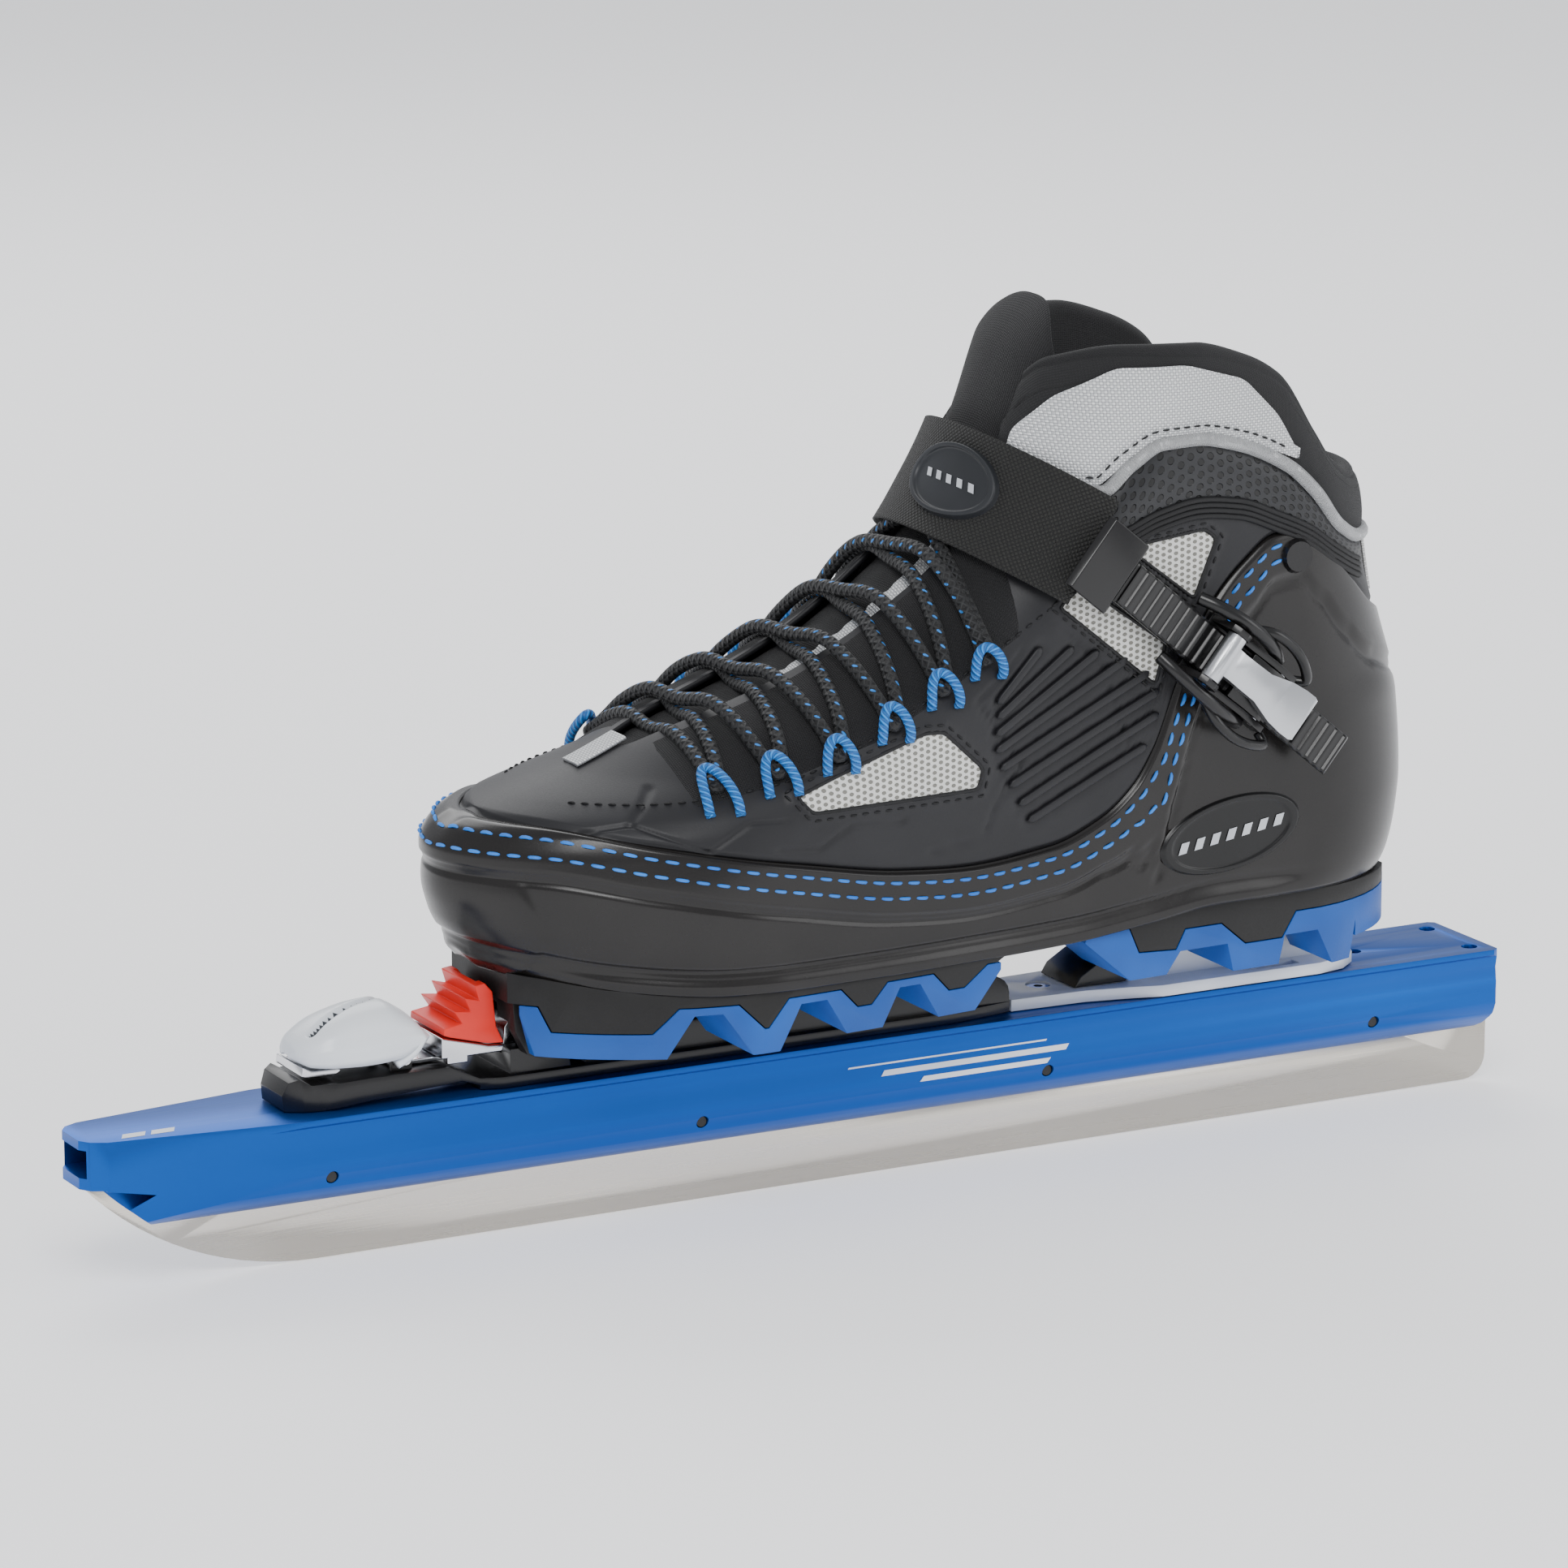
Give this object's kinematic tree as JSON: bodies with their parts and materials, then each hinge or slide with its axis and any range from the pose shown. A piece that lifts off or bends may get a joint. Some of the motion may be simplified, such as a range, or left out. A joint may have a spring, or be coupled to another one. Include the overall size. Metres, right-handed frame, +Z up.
{
  "type": "long-blade speed skate",
  "caption": "Left long-blade speed skate: laced boot with instep strap and ratchet buckle, held by a toe-bar binding on a blue aluminium frame with a steel runner.",
  "frame": {"origin": "on the runner's bottom edge, where it meets the ice, in the middle of the blade's length and thickness", "axes": "+X along the blade towards the heel, -Y towards the outer side of the left foot, +Z up"},
  "size_m": [0.437, 0.1044, 0.2408],
  "materials": {
    "anodised_aluminium": "blue anodised, satin, drawn along the length",
    "runner_steel": "ground along the length",
    "polished_steel": "polished",
    "cast_aluminium": "cast, satin",
    "black_plastic": "moulded, fine texture",
    "ladder_plastic": "moulded, satin",
    "white_plastic": "moulded, satin gloss",
    "red_rubber": "moulded, satin",
    "blue_rubber": "moulded, matt",
    "black_rubber": "moulded, matt",
    "shell_plastic": "moulded, satin gloss",
    "upper_synthetic": "coated synthetic, matt, embossed lines",
    "lining_foam": "knitted fabric over foam",
    "silver_fabric": "woven, metallic thread",
    "white_fabric": "woven tape",
    "strap_webbing": "napped hook-and-loop textile",
    "lace_cord": "round braid with blue flecks",
    "loop_cord": "round braid",
    "board": "pressed board"
  },
  "bodies": {
    "blade_frame": {"frame_rail": "anodised_aluminium", "steel_runner": "runner_steel", "blade_pin_1": "black_plastic", "blade_pin_2": "black_plastic", "blade_pin_3": "black_plastic", "blade_pin_4": "black_plastic", "binding_base": "black_plastic", "base_screw_1": "polished_steel", "base_screw_2": "polished_steel", "base_screw_3": "polished_steel", "flexor_cup": "polished_steel", "flexor": "red_rubber", "lever_pin": "polished_steel", "heel_plate": "white_plastic", "heel_plate_screw_1": "polished_steel", "heel_plate_screw_2": "polished_steel", "guide_block": "black_plastic"},
    "binding_lever": {"binding_lever": "white_plastic", "lever_clip": "polished_steel"},
    "bar_hook": {"bar_hook": "polished_steel"},
    "boot": {"toe_bar": "polished_steel", "outsole_front": "black_rubber", "lug_layer_front_outer": "blue_rubber", "lug_layer_front_inner": "blue_rubber", "outsole_heel": "black_rubber", "lug_layer_heel": "blue_rubber", "lower_shell": "shell_plastic", "upper": "upper_synthetic", "collar": "silver_fabric", "tongue": "lining_foam", "midsole_board": "board", "insole": "lining_foam", "heel_tab": "white_fabric", "lace": "lace_cord", "lace_loop_outer_1": "loop_cord", "lace_loop_outer_2": "loop_cord", "lace_loop_outer_3": "loop_cord", "lace_loop_outer_4": "loop_cord", "lace_loop_outer_5": "loop_cord", "lace_loop_outer_6": "loop_cord", "lace_loop_inner_1": "loop_cord", "lace_loop_inner_2": "loop_cord", "lace_loop_inner_3": "loop_cord", "lace_loop_inner_4": "loop_cord", "lace_loop_inner_5": "loop_cord", "lace_loop_inner_6": "loop_cord", "instep_strap": "strap_webbing", "buckle_base": "ladder_plastic", "buckle_pin": "polished_steel", "pawl_pin": "polished_steel", "cuff_rivet_outer": "polished_steel", "cuff_rivet_inner": "polished_steel"},
    "ladder_strap": {"ladder_strap": "ladder_plastic", "strap_clip": "ladder_plastic"},
    "buckle_lever": {"buckle_lever": "cast_aluminium"},
    "buckle_pawl": {"buckle_pawl": "ladder_plastic"}
  },
  "joints": [
    {"name": "boot_pivot", "type": "hinge", "parent": "blade_frame", "child": "boot", "pos_m": [-0.087, 0, 0.056], "axis": [0, -1, 0], "range_deg": [0, 30], "stiffness_Nm_per_rad": 3, "deforming": ["flexor"]},
    {"name": "lever_open", "type": "hinge", "parent": "blade_frame", "child": "binding_lever", "pos_m": [-0.124, 0, 0.0545], "axis": [0, 1, 0], "range_deg": [0, 40]},
    {"name": "bar_hook_slide", "type": "slide", "parent": "blade_frame", "child": "bar_hook", "axis": [-1, 0, 0], "range_m": [0, 0.007]},
    {"name": "ladder_slide", "type": "slide", "parent": "boot", "child": "ladder_strap", "axis": [-0.7718, 0, 0.6358], "range_m": [0, 0.012]},
    {"name": "buckle_lever_open", "type": "hinge", "parent": "boot", "child": "buckle_lever", "pos_m": [0.10054, -0.0521, 0.14723], "axis": [-0.6358, 0, -0.7718], "range_deg": [0, 80]},
    {"name": "buckle_pawl_lift", "type": "hinge", "parent": "boot", "child": "buckle_pawl", "pos_m": [0.11675, -0.0488, 0.13388], "axis": [0.6358, 0, 0.7718], "range_deg": [0, 7], "stiffness_Nm_per_rad": 0.05}
  ],
  "couplings": [
    {"joint": "bar_hook_slide", "follows": "lever_open", "m_per_rad": 0.01}
  ]
}
